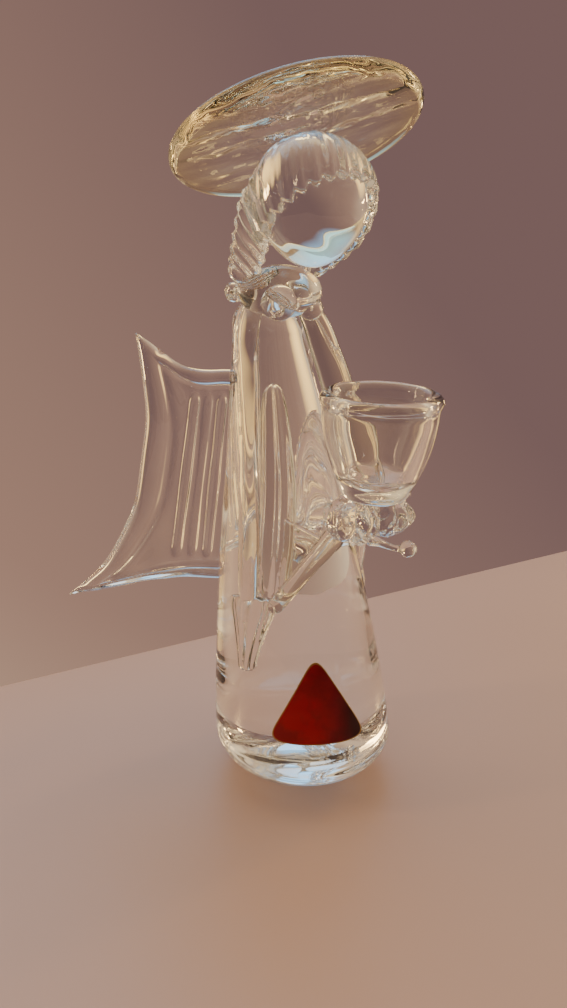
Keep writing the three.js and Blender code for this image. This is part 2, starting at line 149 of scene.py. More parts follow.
def closedMesh(name, points):
    # Quads between neighbouring rows, wrapped round the columns, and a fan of triangles to each pole.
    # A mesh whose signed volume is negative has its faces turned over.
    rows, columns = points.shape[:2]
    inner = points[1:-1].reshape(-1, 3)
    vertices = np.vstack([points[0].mean(0), inner, points[-1].mean(0)]) * millimetre
    column = np.arange(columns)
    following = (column + 1) % columns
    start = 1 + np.arange(rows - 3)[:, None] * columns
    here, beside = start + column, start + following
    quads = np.stack([here, beside, beside + columns, here + columns], -1)
    last = len(vertices) - 1
    top = 1 + (rows - 3) * columns
    firstFan = np.stack([np.zeros(columns, int), 1 + following, 1 + column], -1)
    lastFan = np.stack([np.full(columns, last), top + column, top + following], -1)
    triangles = np.vstack([firstFan, lastFan])
    quads = quads.reshape(-1, 4)
    split = np.vstack([quads[:, :3], quads[:, [0, 2, 3]], triangles])
    corners = vertices[split]
    volume = (corners[:, 0] * np.cross(corners[:, 1], corners[:, 2])).sum()
    if volume < 0:
        quads = quads[:, ::-1]
        triangles = triangles[:, ::-1]
    mesh = bpy.data.meshes.new(name)
    mesh.from_pydata(vertices.tolist(), [], quads.tolist() + triangles.tolist())
    mesh.polygons.foreach_set("use_smooth", np.ones(len(mesh.polygons), bool))
    mesh.update()
    return mesh


def makePiece(name, points, material, nodes, glass=True):
    # A closed mesh from the grid, riding on the root, in the place of the frame's own nodes
    piece = bpy.data.objects.new(name, closedMesh(name, points))
    bpy.context.collection.objects.link(piece)
    piece.data.materials.append(material)
    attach(piece, "root")
    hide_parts(*nodes)
    if glass:
        glassPieces.append(piece)
    return piece


def nodeMaterial(name):
    # An empty material with its nodes, its links and its shader
    material = bpy.data.materials.new(name)
    material.use_nodes = True
    nodes, links = material.node_tree.nodes, material.node_tree.links
    return material, nodes, links, nodes["Principled BSDF"]


def ownCoordinates(nodes):
    # Places on the piece, in its own axes
    return nodes.new("ShaderNodeTexCoord").outputs["Object"]


def cloudNoise(nodes, links, place, scale, detail):
    # Cloudy noise from 0 to 1, finer for a larger scale and rougher for more detail
    noise = nodes.new("ShaderNodeTexNoise")
    noise.inputs["Scale"].default_value = scale
    noise.inputs["Detail"].default_value = detail
    links.new(place, noise.inputs["Vector"])
    return noise.outputs["Fac"]


def shadeRamp(nodes, links, value, shades):
    # Straight blends between colours, each set at its own place from 0 to 1
    ramp = nodes.new("ShaderNodeValToRGB")
    elements = ramp.color_ramp.elements
    elements[0].position, elements[0].color = shades[0][0], (*shades[0][1], 1)
    elements[1].position, elements[1].color = shades[-1][0], (*shades[-1][1], 1)
    for position, colour in shades[1:-1]:
        elements.new(position).color = (*colour, 1)
    links.new(value, ramp.inputs["Fac"])
    return ramp.outputs["Color"]


def riseBetween(nodes, links, value, low, high):
    # Black up to the low place, white from the high place, and a straight blend between
    return shadeRamp(nodes, links, value, [(low, (0, 0, 0)), (high, (1, 1, 1))])


def blendColours(nodes, links, factor, first, second):
    # The first colour times (1 - factor) plus the second, a plain value, times the factor
    blend = nodes.new("ShaderNodeMix")
    blend.data_type = "RGBA"
    blend.inputs["B"].default_value = (*second, 1)
    links.new(factor, blend.inputs["Factor"])
    links.new(first, blend.inputs["A"])
    return blend.outputs["Result"]


def bumpSurface(nodes, links, height, shader, strength, distance):
    # The shader's normal leans with the slope of a height, by a strength and a distance in metres
    bump = nodes.new("ShaderNodeBump")
    bump.inputs["Strength"].default_value = strength
    bump.inputs["Distance"].default_value = distance
    links.new(height, bump.inputs["Height"])
    links.new(bump.outputs["Normal"], shader.inputs["Normal"])


glassLook = {
    "clear": {"pale": (0.99, 0.985, 0.965), "deep": (0.96, 0.952, 0.895), "rippleScale": 90,
              "rippleStrength": 0.03},
    "warm": {"pale": (0.99, 0.975, 0.925), "deep": (0.945, 0.92, 0.80), "rippleScale": 90,
             "rippleStrength": 0.04},
    "amber": {"pale": (0.99, 0.98, 0.94), "deep": (0.975, 0.945, 0.84), "rippleScale": 110,
              "rippleStrength": 0.07},
    "roughness": 0.0, "ior": 1.5, "cloudScale": 35, "cloudDetail": 3, "deepAt": 0.35, "paleAt": 0.6,
    "rippleDetail": 1.5, "rippleDistance": 0.001,
}


def glassMaterial(name, kind, rim=None):
    # Clear shader with a faint cloudy tint and a slow ripple in its surface. With a rim, a painted gold
    # highlight grows by the distance from the rim's middle over its radius, for the glints at a thick
    # edge.
    look = glassLook[kind]
    material, nodes, links, shader = nodeMaterial(name)
    shader.inputs["Transmission Weight"].default_value = 1
    shader.inputs["Roughness"].default_value = glassLook["roughness"]
    shader.inputs["IOR"].default_value = glassLook["ior"]
    place = ownCoordinates(nodes)
    cloud = cloudNoise(nodes, links, place, glassLook["cloudScale"], glassLook["cloudDetail"])
    tint = shadeRamp(nodes, links, cloud, [(glassLook["deepAt"], look["deep"]),
                                           (glassLook["paleAt"], look["pale"])])
    # The rim's gold is a painted highlight: the gold glints and deeper colour seen through a thick edge
    if rim:
        away = nodes.new("ShaderNodeVectorMath")
        away.operation = "DISTANCE"
        away.inputs[1].default_value = rim["middle"]
        reach = nodes.new("ShaderNodeMath")
        reach.operation = "DIVIDE"
        reach.inputs[1].default_value = rim["radius"]
        links.new(place, away.inputs[0])
        links.new(away.outputs["Value"], reach.inputs[0])
        goldShare = riseBetween(nodes, links, reach.outputs["Value"], rim["from"], rim["to"])
        tint = blendColours(nodes, links, goldShare, tint, rim["gold"])
    links.new(tint, shader.inputs["Base Color"])
    ripple = cloudNoise(nodes, links, place, look["rippleScale"], glassLook["rippleDetail"])
    bumpSurface(nodes, links, ripple, shader, look["rippleStrength"], glassLook["rippleDistance"])
    return material


# The halo's rim takes a painted gold highlight, from 0.6 of its radius out to the edge
haloRimHighlight = {"middle": (0, 0.0118, 0.1844), "radius": 0.033, "from": 0.6, "to": 1.0,
           "gold": (0.96, 0.86, 0.50)}


def weldMaterial():
    # Where one gather is buried in the next the glass is one body, so light goes straight through
    material, nodes, links, shader = nodeMaterial("buriedWeld")
    shader.inputs["Alpha"].default_value = 0
    return material


foilLook = {
    "red": (0.58, 0.012, 0.034), "worn": (0.36, 0.008, 0.022), "dark": (0.045, 0.002, 0.006),
    "gold": (0.55, 0.33, 0.10), "goldFrom": 0.965, "goldWidth": 0.012, "metallic": 0.3,
    "cloudScale": 160, "cloudDetail": 6, "wornAt": 0.38, "redAt": 0.6, "smooth": 0.28, "scuffed": 0.5,
    "crinkle": 0.25, "crinkleDistance": 0.0004, "shadowFrom": -0.1, "shadowTo": 0.75,
}


def foilMaterial():
    # Dark red foil with a thin gold rim, darker clouds, fine scuffs and a slight crinkle. It darkens
    # smoothly towards one side, and turns gold where its reach is near 1.
    look = foilLook
    material, nodes, links, shader = nodeMaterial("redFoil")
    shader.inputs["Metallic"].default_value = look["metallic"]
    cloud = cloudNoise(nodes, links, ownCoordinates(nodes), look["cloudScale"], look["cloudDetail"])
    red = shadeRamp(nodes, links, cloud, [(look["wornAt"], look["worn"]), (look["redAt"], look["red"])])
    aside = nodes.new("ShaderNodeAttribute")
    aside.attribute_name = "aside"
    shadow = nodes.new("ShaderNodeMapRange")
    shadow.interpolation_type = "SMOOTHSTEP"
    shadow.inputs["From Min"].default_value = look["shadowFrom"]
    shadow.inputs["From Max"].default_value = look["shadowTo"]
    links.new(aside.outputs["Fac"], shadow.inputs["Value"])
    darkened = blendColours(nodes, links, shadow.outputs["Result"], red, look["dark"])
    edge = nodes.new("ShaderNodeAttribute")
    edge.attribute_name = "reach"
    goldShare = riseBetween(nodes, links, edge.outputs["Fac"], look["goldFrom"],
                            look["goldFrom"] + look["goldWidth"])
    links.new(blendColours(nodes, links, goldShare, darkened, look["gold"]), shader.inputs["Base Color"])
    scuff = nodes.new("ShaderNodeMapRange")
    scuff.inputs["To Min"].default_value = look["smooth"]
    scuff.inputs["To Max"].default_value = look["scuffed"]
    links.new(cloud, scuff.inputs["Value"])
    links.new(scuff.outputs["Result"], shader.inputs["Roughness"])
    bumpSurface(nodes, links, cloud, shader, look["crinkle"], look["crinkleDistance"])
    return material


clearGlass = glassMaterial("clearGlass", "clear")
warmGlass = glassMaterial("warmGlass", "warm")
amberGlass = glassMaterial("amberGlass", "amber", haloRimHighlight)
weld = weldMaterial()
print("materials ready")


gownSize = {"foot": 27.4, "footHeight": 15, "footDepth": 15.1, "neck": 10, "neckHeight": 134,
            "bulge": 1.6, "bulgePower": 0.8, "top": 144, "flatRows": 14, "footRows": 50, "tallRows": 210,
            "domeRows": 30, "columns": 300, "waver": 0.12, "streak": 0.035, "calmBelow": 12,
            "calmFade": 20}
gownLeanSize = {"start": 14, "slope": 0.165, "bend": 0.001, "bendStart": 88, "footBack": 4.4}


def gownRadius(z):
    # An elliptic foot, a straight taper with a slight bulge, and a domed top
    size = gownSize
    below = np.clip((size["footHeight"] - z) / size["footDepth"], 0, 1)
    up = np.clip((z - size["footHeight"]) / (size["neckHeight"] - size["footHeight"]), 0, 1)
    bulge = size["bulge"] * np.sin(math.pi * up ** size["bulgePower"])
    taper = size["foot"] + (size["neck"] - size["foot"]) * up + bulge
    above = np.clip((z - size["neckHeight"]) / (size["top"] - size["neckHeight"]), 0, 1)
    foot = size["foot"] * np.sqrt(1 - below ** 2)
    return np.where(z < size["footHeight"], foot, taper * np.sqrt(1 - above ** 2))


def gownLean(z):
    # How far back the gown's middle is: set back at the flat by a square, then a straight slope,
    # and a second square that steepens it near the neck
    lean = gownLeanSize
    below = np.clip(1 - z / lean["start"], 0, 1)
    rise = lean["slope"] * np.maximum(0, z - lean["start"])
    steepening = lean["bend"] * np.maximum(0, z - lean["bendStart"]) ** 2
    return lean["footBack"] * below ** 2 + rise + steepening


def onGown(side, azimuth, z, out):
    # A place off the gown's surface: the radius plus out, turned from the front by the azimuth
    reach = float(gownRadius(np.array(float(z)))) + out
    turn = math.radians(azimuth)
    middle = float(gownLean(np.array(float(z))))
    return [sideSign[side] * reach * math.sin(turn), middle - reach * math.cos(turn), z]


def roundGown(side, azimuth):
    # The level direction along the gown's surface at an azimuth
    return [sideSign[side] * math.cos(math.radians(azimuth)), math.sin(math.radians(azimuth)), 0]


def gownPoints():
    # Rings of the gown's radius round its leaning middle: out over the flat, up the foot by a cosine,
    # up the taper and over the dome by a sine. A slow waver and fine upright streaks move it outward.
    size = gownSize
    flatShare = np.linspace(0, 1, size["flatRows"])[:-1]
    footTurn = np.linspace(0, math.pi / 2, size["footRows"])
    footZ = size["footHeight"] * (1 - np.cos(footTurn))
    tallZ = np.linspace(size["footHeight"], size["neckHeight"], size["tallRows"])[1:]
    domeTurn = np.linspace(0, math.pi / 2, size["domeRows"])
    domeZ = size["neckHeight"] + (size["top"] - size["neckHeight"]) * np.sin(domeTurn)[1:]
    z = np.concatenate([np.zeros(len(flatShare)), footZ, tallZ, domeZ])
    radius = gownRadius(z)
    radius[:len(flatShare)] *= flatShare
    angle = np.linspace(0, 2 * math.pi, size["columns"], endpoint=False)
    x = radius[:, None] * np.cos(angle)
    y = radius[:, None] * np.sin(angle) + gownLean(z)[:, None]
    points = np.stack([x, y, np.repeat(z[:, None], size["columns"], 1)], -1)
    slow = waver(points * [1, 1, 0.35], 17, 3) * size["waver"]
    fine = waver(points * [1, 1, 0.1], 5, 4) * size["streak"]
    hold = np.clip((z - size["calmBelow"]) / size["calmFade"], 0, 1)[:, None]
    middle = np.stack([0 * z, gownLean(z), 0 * z], -1)[:, None]
    out = unit(points * [1, 1, 0] - middle)
    return points + out * ((slow + fine) * hold)[..., None]


makePiece("gown", gownPoints(), clearGlass, ["body"])
print("gown ready")


headSize = {"at": [0, 4.4, 167.6], "half": [14.2, 14.4, 15.0], "chin": 0.16, "rows": 120, "columns": 140}
hairSize = {"thick": 2.4, "lineHeight": 167.5, "lineSlope": 0.84, "scallops": 26,
            "scallopDepth": 0.75, "scallopRadius": 15, "crimpDepth": 0.42, "slant": 2.6,
            "crimpsFrom": 0.45, "crimpsFade": 0.4, "smoothBack": 0.85, "napeLift": 0.17,
            "roundEdge": 0.07, "sink": 0.3, "rows": 150, "edgeRows": 16, "outerShare": 0.7,
            "columns": 300}


def ovoid(direction):
    # An ellipsoid, narrowed below its middle by a power of how far down each direction points
    narrow = 1 - headSize["chin"] * np.maximum(0, -direction[..., 2:]) ** 1.5
    scale = np.concatenate([narrow, narrow, np.ones_like(narrow)], -1)
    return np.array(headSize["at"]) + direction * scale * np.array(headSize["half"])


def headPoints():
    # The ovoid with a slight waver, and no features on its face
    return uneven(ovoid(roundGrid(headSize["rows"], headSize["columns"])), 0.08, 14, 5)


def capPoints():
    # A thick cap over the head: rows run from its pole down to the hairline, round over the edge and
    # back up inside the head. A slanting cosine crimps it towards the edge and scallops the edge.
    size = hairSize
    tip = math.atan(size["lineSlope"])
    pole = np.array([0, math.sin(tip), math.cos(tip)])
    sideways = np.array([1.0, 0, 0])
    backward = np.cross(pole, sideways)
    angle = np.linspace(0, 2 * math.pi, size["columns"], endpoint=False)[None]
    drop = headSize["at"][2] - size["lineHeight"] + size["lineSlope"] * headSize["at"][1]
    rim = math.pi / 2 + math.asin(drop * math.cos(tip) / (headSize["half"][1] + size["thick"]))
    edgeRows = size["edgeRows"]
    outerRows = int(size["rows"] * size["outerShare"])
    innerRows = size["rows"] - outerRows - edgeRows
    down = np.concatenate([np.linspace(0, rim, outerRows), np.full(edgeRows, rim),
                           np.linspace(rim, 0, innerRows)])
    edgeTurn = np.linspace(0, math.pi, edgeRows + 2)[1:-1]
    layer = np.concatenate([np.ones(outerRows), np.cos(edgeTurn), -np.ones(innerRows)])
    bulge = np.concatenate([np.zeros(outerRows), np.sin(edgeTurn), np.zeros(innerRows)])
    phase = size["scallops"] * angle + size["slant"] * down[:, None] * 3
    back = np.clip(np.sin(angle), 0, 1)
    nearRim = np.clip((down / rim - size["crimpsFrom"]) / size["crimpsFade"], 0, 1)[:, None] ** 1.5
    nearRim = nearRim * (1 - size["smoothBack"] * back)
    scallop = size["scallopDepth"] / size["scallopRadius"] * np.cos(phase) * nearRim ** 3
    shift = (bulge * size["roundEdge"])[:, None] + scallop
    # The hairline is drawn up at the nape
    polar = (down[:, None] + shift) * (1 - size["napeLift"] * back ** 2)
    direction = (pole * np.cos(polar)[..., None] + sideways * (np.sin(polar) * np.cos(angle))[..., None]
                 + backward * (np.sin(polar) * np.sin(angle))[..., None])
    half = size["thick"] / 2
    crimp = size["crimpDepth"] * np.cos(phase) * nearRim * (layer[:, None] > 0)
    grow = half + layer[:, None] * (half + size["sink"]) + crimp
    return ovoid(direction) + unit(direction) * grow[..., None]


# The right lock hangs behind the jaw. The left one lies further forward along the cheek, then runs
# back to its curl.
lockStations = {
    "right": [
        ([-13.2, 5.5, 176.5], [-0.1, 0.9, 0.3], 6.5, 2.6),
        ([-15.2, 7.0, 168.5], [-0.25, 0.95, 0.2], 11, 3.2),
        ([-14.0, 11.4, 160.4], [-0.5, 0.8, 0.3], 10, 3.4),
        ([-11.8, 16.8, 153.6], [-0.65, 0.65, 0.4], 9, 3.4),
        ([-9.4, 22.6, 148], [-0.6, 0.5, 0.6], 7, 3.4),
    ],
    "left": [
        ([12.6, -2.6, 175.5], [0.2, 0.9, 0.3], 6.5, 2.6),
        ([13.6, -1.4, 168], [0.35, 0.9, 0.2], 9, 3.2),
        ([12.8, 1.6, 161.6], [0.35, 0.8, 0.4], 9, 3.2),
        ([11.2, 7.2, 156.6], [0.35, 0.7, 0.6], 8, 3.2),
        ([9.8, 14, 152], [0.5, 0.6, 0.6], 7, 3.3),
        ([9.2, 21.5, 148], [0.6, 0.5, 0.6], 6, 3.3),
    ],
}
lockShape = {"rows": 230, "columns": 96, "cap": 0.08, "square": 0.85, "crimps": 9, "crimpDepth": 0.34,
             "crimpSlant": 6.5}


def lockPoints(side):
    # A squarish ribbon carried down its stations, crimped on its outer face
    return trail(lockStations[side], crimpFace=-sideSign[side], **lockShape)


curlSize = {"x": 8.6, "y": 26.0, "z": 145.2, "spiral": 2.3, "wire": 2.7, "wideShare": 1.35,
            "thickShare": 0.8, "turns": {"right": 1.45, "left": 0.8}, "startTurn": 0.9,
            "closing": 0.62, "spread": 0.7, "steps": 12, "rows": 120, "columns": 36, "cap": 0.07}


def curlPoints(side):
    # The ribbon's end rolled into a flat spiral: the reach shrinks in step with the turn
    size = curlSize
    stations = []
    for i in range(size["steps"] + 1):
        t = i / size["steps"]
        turn = 2 * math.pi * size["turns"][side] * t - size["startTurn"]
        reach = size["spiral"] * (1 - size["closing"] * t)
        at = [sideSign[side] * (size["x"] + size["spread"] * t), size["y"] - reach * math.cos(turn),
              size["z"] - reach * math.sin(turn)]
        stations.append((at, [1, 0, 0], size["wire"] * size["wideShare"],
                         size["wire"] * size["thickShare"]))
    return trail(stations, size["rows"], size["columns"], cap=size["cap"])


haloSize = {"at": [0, 11.8, 184.4], "radius": 33, "edge": 4.4, "middle": 6, "tilt": 23.4,
            "columns": 380, "faceRows": 88, "edgeRows": 24, "endsAlong": (0.766, -0.643),
            "swirls": [(10, 11, 0.2), (4.4, 12, 0.085), (2.4, 13, 0.022)], "stretch": 0.4,
            "rimFrom": 0.97, "rimFade": 0.2, "rimSwirl": 0.15, "faceSwirl": 0.85,
            "middleSwirl": 0.75, "endSwirl": 0.45}


def haloPoints():
    # A round cake of glass: faces crowned by a square, a half circle for its edge, rippled where it
    # was pressed and spun, then tilted
    size = haloSize
    half = size["edge"] / 2
    reach = size["radius"] - half
    crown = size["middle"] / 2 - half
    face = np.linspace(0, 1, size["faceRows"])
    over = np.stack([reach * face, half + crown * (1 - face ** 2)], -1)
    turn = np.linspace(math.pi / 2, -math.pi / 2, size["edgeRows"] + 2)[1:-1]
    edge = np.stack([reach + half * np.cos(turn), half * np.sin(turn)], -1)
    under = over[::-1] * [1, -1]
    line = np.vstack([over, edge, under])
    angle = np.linspace(0, 2 * math.pi, size["columns"], endpoint=False)
    points = np.stack([line[:, :1] * np.cos(angle), line[:, :1] * np.sin(angle),
                       np.repeat(line[:, 1:], size["columns"], 1)], -1)
    level = np.sign(line[:, 1])[:, None] * np.abs(line[:, 1] / half).clip(0, 1)[:, None]
    away = line[:, :1] / size["radius"]
    # Streaks run along one level direction, and are strongest towards its two ends
    lengthwise = points[..., :2] @ np.array(size["endsAlong"])
    crosswise = points[..., :2] @ np.array([-size["endsAlong"][1], size["endsAlong"][0]])
    streaks = np.stack([lengthwise * size["stretch"], crosswise, points[..., 2]], -1)
    swirl = sum(waver(streaks, wavelength, seed) * depth for wavelength, seed, depth in size["swirls"])
    inside = np.clip((size["rimFrom"] - away) / size["rimFade"], 0, 1)
    ends = size["middleSwirl"] + size["endSwirl"] * (lengthwise / size["radius"]) ** 2
    points[..., 2] += swirl * level * ends * (size["rimSwirl"] + size["faceSwirl"] * inside)
    tilt = math.radians(-size["tilt"])
    turnX = np.array([[1, 0, 0], [0, math.cos(tilt), -math.sin(tilt)],
                      [0, math.sin(tilt), math.cos(tilt)]])
    return points @ turnX.T + np.array(size["at"])


makePiece("head", headPoints(), clearGlass, ["head"])
makePiece("hairCap", capPoints(), clearGlass, ["hair"])
for side in sideSign:
    makePiece(side + "HairLock", lockPoints(side), clearGlass, ["hair"])
    makePiece(side + "Curl", curlPoints(side), clearGlass, [side + "_curl"])
makePiece("halo", haloPoints(), amberGlass, ["halo"])
print("head, hair and halo ready")


collarSize = {"at": [0, 16.6, 145.6], "half": [13, 9.8, 7.2], "rows": 90, "columns": 130, "seed": 21}
beadSize = {
    "right": {"at": [-6.6, 9.0, 143.6], "half": [4.8] * 3, "rows": 60, "columns": 70, "seed": 22},
    "left": {"at": [6.4, 10.6, 141.4], "half": [3.4] * 3, "rows": 60, "columns": 70, "seed": 22},
}


def blob(size):
    # An ellipsoid with a slight waver
    points = np.array(size["at"]) + roundGrid(size["rows"], size["columns"]) * np.array(size["half"])
    return uneven(points, 0.12, 9, size["seed"])


makePiece("collar", blob(collarSize), warmGlass, ["collar"])
for side, bead in beadSize.items():
    makePiece(side + "ShoulderBead", blob(bead), clearGlass, [side + "_shoulder_bead"])


def alongGown(side, rows):
    # Stations on the gown's surface. Each row is a height, an azimuth in degrees, a width, how far
    # the middle stands off the surface, and a thickness. The width runs round the gown.
    return [(onGown(side, azimuth, z, out), roundGown(side, azimuth), wide, thick)
            for z, azimuth, wide, out, thick in rows]


strapStations = alongGown("right", [
    (141, 64, 6.5, 0.4, 4.6), (136, 66, 6.8, 1.2, 5.2), (128, 67.5, 6.4, 1.7, 5.6),
    (114, 67.5, 6.2, 2.0, 5.6), (98, 67.5, 6.4, 2.2, 5.6), (82, 68, 6.8, 2.2, 5.4),
    (66, 69.5, 6.0, 1.8, 4.8), (56, 71, 4.0, 0.9, 3.6)])

sleeveStations = alongGown("right", [
    (122, 39, 3.6, 0.2, 5), (116, 40, 6.4, 0.9, 5), (106, 41.5, 8, 1.2, 5), (94, 43.5, 9.2, 1.3, 5),
    (82, 47, 9.8, 1.4, 5), (72, 50.5, 8.6, 1.6, 5), (64.5, 53, 6.4, 1.8, 5)])

sleeveTipStations = alongGown("right", [
    (65.5, 66, 12.6, 1.4, 3.6), (62, 67, 12.8, 2.0, 4.8), (57, 69, 10, 1.8, 4.8),
    (51, 71, 7, 1.4, 4.6), (46.5, 72.5, 5.4, 1.2, 4.4), (43.4, 73, 4.6, 0.9, 4.0)])

leftTipStations = alongGown("left", [
    (62.5, 78, 7, 0.6, 3.8), (57, 79, 6.2, 0.7, 3.8), (51.6, 80.5, 5, 0.6, 3.6),
    (47.6, 81, 4.2, 0.5, 3.4)])

forearmStations = [
    ([-20.4, -7.4, 63], [0.5, -0.5, 0.6], 4.6, 4.6),
    ([-16.6, -11.6, 71], [0.5, -0.5, 0.6], 4.6, 4.2),
    ([-11.8, -15.6, 79.6], [0.5, -0.5, 0.6], 5.0, 4.6),
    ([-7.0, -19.2, 87.6], [0.5, -0.5, 0.6], 6.4, 5.6),
]

webStations = [
    ([-19.4, -6.6, 65.5], [0.4, -0.9, 0.2], 5, 2.6),
    ([-16.6, -8.0, 73], [0.4, -0.9, 0.15], 9, 2.4),
    ([-13.4, -9.4, 80], [0.4, -0.9, 0.08], 14, 2.2),
    ([-11.0, -10.4, 86.4], [0.38, -0.92, -0.06], 20, 2.6),
]

leftArmStations = [
    ([7.2, 14, 142], [0.7, -0.6, 0.2], 6, 5),
    ([8.4, 10, 136], [0.7, -0.6, 0.2], 7.6, 5.2),
    ([9, 5, 127], [0.7, -0.6, 0.2], 8.6, 5),
    ([9.8, -2.6, 113], [0.7, -0.6, 0.1], 8.8, 4.8),
    ([9.6, -11, 100], [0.7, -0.5, 0], 8, 5),
    ([7.4, -18.6, 91.2], [0.7, -0.4, 0], 7, 5.4),
]

leftSleeveStations = [
    ([15.4, -1.4, 89], [0.4, -0.8, 0.1], 3.6, 3),
    ([16.6, -1.3, 82], [0.4, -0.8, 0.2], 6.2, 3.4),
    ([18, -0.6, 73], [0.4, -0.8, 0.3], 6.4, 3.6),
    ([19.4, 0.5, 64.5], [0.4, -0.8, 0.2], 5.6, 3.6),
    ([20.2, 1.8, 59], [0.4, -0.8, 0.2], 4.6, 3.4),
]


# Each is a piece, the frame's node that it replaces, its stations and its trail's other values
armPieces = [
    ("rightUpperArm", "right_upper_arm", strapStations, {"rows": 260, "columns": 56, "cap": 0.05}),
    ("rightSleeve", "right_sleeve", sleeveStations,
     {"rows": 220, "columns": 88, "cap": 0.08, "pleats": 7, "pleatDepth": 0.17}),
    ("rightForearm", "right_forearm", forearmStations, {"rows": 110, "columns": 56, "cap": 0.1}),
    ("rightWeb", "right_web", webStations, {"rows": 110, "columns": 110, "cap": 0.05}),
    ("rightSleeveTip", "right_sleeve_tip", sleeveTipStations,
     {"rows": 120, "columns": 80, "cap": 0.1, "pleats": 9, "pleatDepth": 0.12}),
    ("leftUpperArm", "left_upper_arm", leftArmStations, {"rows": 180, "columns": 64, "cap": 0.07}),
    ("leftSleeve", "left_sleeve", leftSleeveStations,
     {"rows": 160, "columns": 88, "cap": 0.08, "pleats": 4, "pleatDepth": 0.05}),
    ("leftSleeveTip", "left_sleeve_tip", leftTipStations,
     {"rows": 90, "columns": 64, "cap": 0.12, "pleats": 9, "pleatDepth": 0.12}),
]
for name, node, stations, shape in armPieces:
    makePiece(name, uneven(trail(stations, **shape), 0.1, 11, 31), warmGlass, [node])
print("arms and sleeves ready")


handSize = {"x": 5.0, "y": -22.4, "z": 91.4, "spread": 0.6, "half": [7.2, 7.8, 6.4], "fingers": 9,
            "depth": 0.15, "twist": 0.6, "balance": 0.6, "rows": 110, "columns": 150,
            "lumps": (0.7, 8), "smallLumps": (0.36, 3.6)}


def handPoints(side):
    # An ellipsoid pinched round its edge by the size of a cosine into upright finger ridges, then made
    # lumpy all over
    size = handSize
    sign = sideSign[side]
    polar = np.linspace(0, math.pi, size["rows"])[:, None]
    angle = np.linspace(0, 2 * math.pi, size["columns"], endpoint=False)[None]
    finger = np.abs(np.cos(size["fingers"] * angle / 2 + size["twist"] * sign)) - size["balance"]
    direction = roundGrid(size["rows"], size["columns"])
    direction[..., :2] *= (1 + size["depth"] * finger * np.sin(polar) ** 2)[..., None]
    at = np.array([sign * size["x"], size["y"] - size["spread"] * sign, size["z"]])
    points = uneven(at + direction * np.array(size["half"]), *size["lumps"], 41 + sign)
    return uneven(points, *size["smallLumps"], 43 + sign)


cupSize = {"at": [0, -24.2, 96.4], "height": 28.6, "rim": 15.6, "base": 7.6, "wall": 2.9, "floor": 5,
           "lip": 2.0, "swell": 2.2, "thinning": 0.05, "outFrom": 1.6, "inTo": 2.4, "linePoints": 9,
           "columns": 200, "steps": 230}


def cupPoints():
    # A beaker turned about its axis: round bottom, full wall, rolled lip, and the hollow back down to
    # its floor
    size = cupSize
    base, floor, lip, count = size["base"], size["floor"], size["lip"], size["linePoints"]
    top = size["height"] - 2 * lip
    mouth = size["rim"] - lip + size["wall"] / 2

    def outside(z):
        # A bell curve that widens fast above the base and slowly near the mouth, by a power
        return base + (mouth - base) * (1 - (1 - z / size["height"]) ** size["swell"])

    outZ = np.linspace(size["outFrom"], top, count)
    outer = np.stack([outside(outZ), outZ], -1)
    turn = np.linspace(0, math.pi, count)
    lipLine = np.stack([size["rim"] - lip + lip * np.cos(turn),
                        size["height"] - lip + lip * np.sin(turn)], -1)
    inZ = np.linspace(top, floor + size["inTo"], count)
    inner = np.stack([outside(inZ) - size["wall"] - size["thinning"] * (top - inZ), inZ], -1)
    start = [[0, 0], [base * 0.4, 0.1], [base * 0.75, 0.5]]
    end = [[base * 0.55, floor + 0.6], [base * 0.2, floor + 0.05], [0, floor]]
    points = turned(np.vstack([start, outer, lipLine, inner, end]), size["columns"], size["steps"])
    points += np.array(size["at"])
    return uneven(points, 0.1, 12, 51)


tailStations = [
    ([-3.0, -24.6, 86.4], [1, 0, 0], 4.6, 4.2),
    ([-0.6, -27.0, 85.6], [1, 0, 0], 2.6, 2.4),
    ([1.6, -29.6, 84.6], [1, 0, 0], 1.7, 1.7),
    ([3.0, -31.4, 84.3], [1, 0, 0], 2.0, 2.0),
    ([4.2, -32.7, 84.4], [1, 0, 0], 4.4, 4.4),
    ([6.2, -34.8, 84.5], [1, 0, 0], 4.4, 4.4),
]

for side in sideSign:
    makePiece(side + "Hand", handPoints(side), clearGlass, [side + "_hand"])
makePiece("cup", cupPoints(), clearGlass, ["cup"])
makePiece("tailDrop", trail(tailStations, 110, 40, cap=0.16), clearGlass, ["tail_drop"])
print("hands, cup and tail ready")


wingSize = {
    "root": [9, 20], "sweep": 50, "thick": 5.4, "round": 2.6, "thinning": 0.4, "tipFrom": 26,
    "tipLength": 30, "groove": 0.8, "grooveAt": 4.0, "grooveWidth": 0.9, "hollow": 0.5,
    "hollowFade": 5, "leastShare": 0.25,
    "ribs": [(15.2, 0.135, 1.0, 0.95), (11.2, 0.118, 0.9, 0.6), (7.2, 0.10, 1.0, 0.95)],
    "ribPivot": 110, "ribsLow": 65, "ribsHigh": 118, "ribsFade": 4, "bow": 1.2, "bowLength": 45,
    "soften": 5.0, "outerWeight": 0.9, "rows": 210, "columns": 420,
    "bottom": [[-2, 58.5], [9, 59], [24, 58.4], [55.2, 51.8]],
    "top": [[-2, 124.5], [6, 124.2], [17, 124.6], [31.3, 134]],
    "outer": [[55.2, 51.8], [43, 64], [33.8, 82], [29.6, 104], [29.2, 118], [31.3, 134]],
}


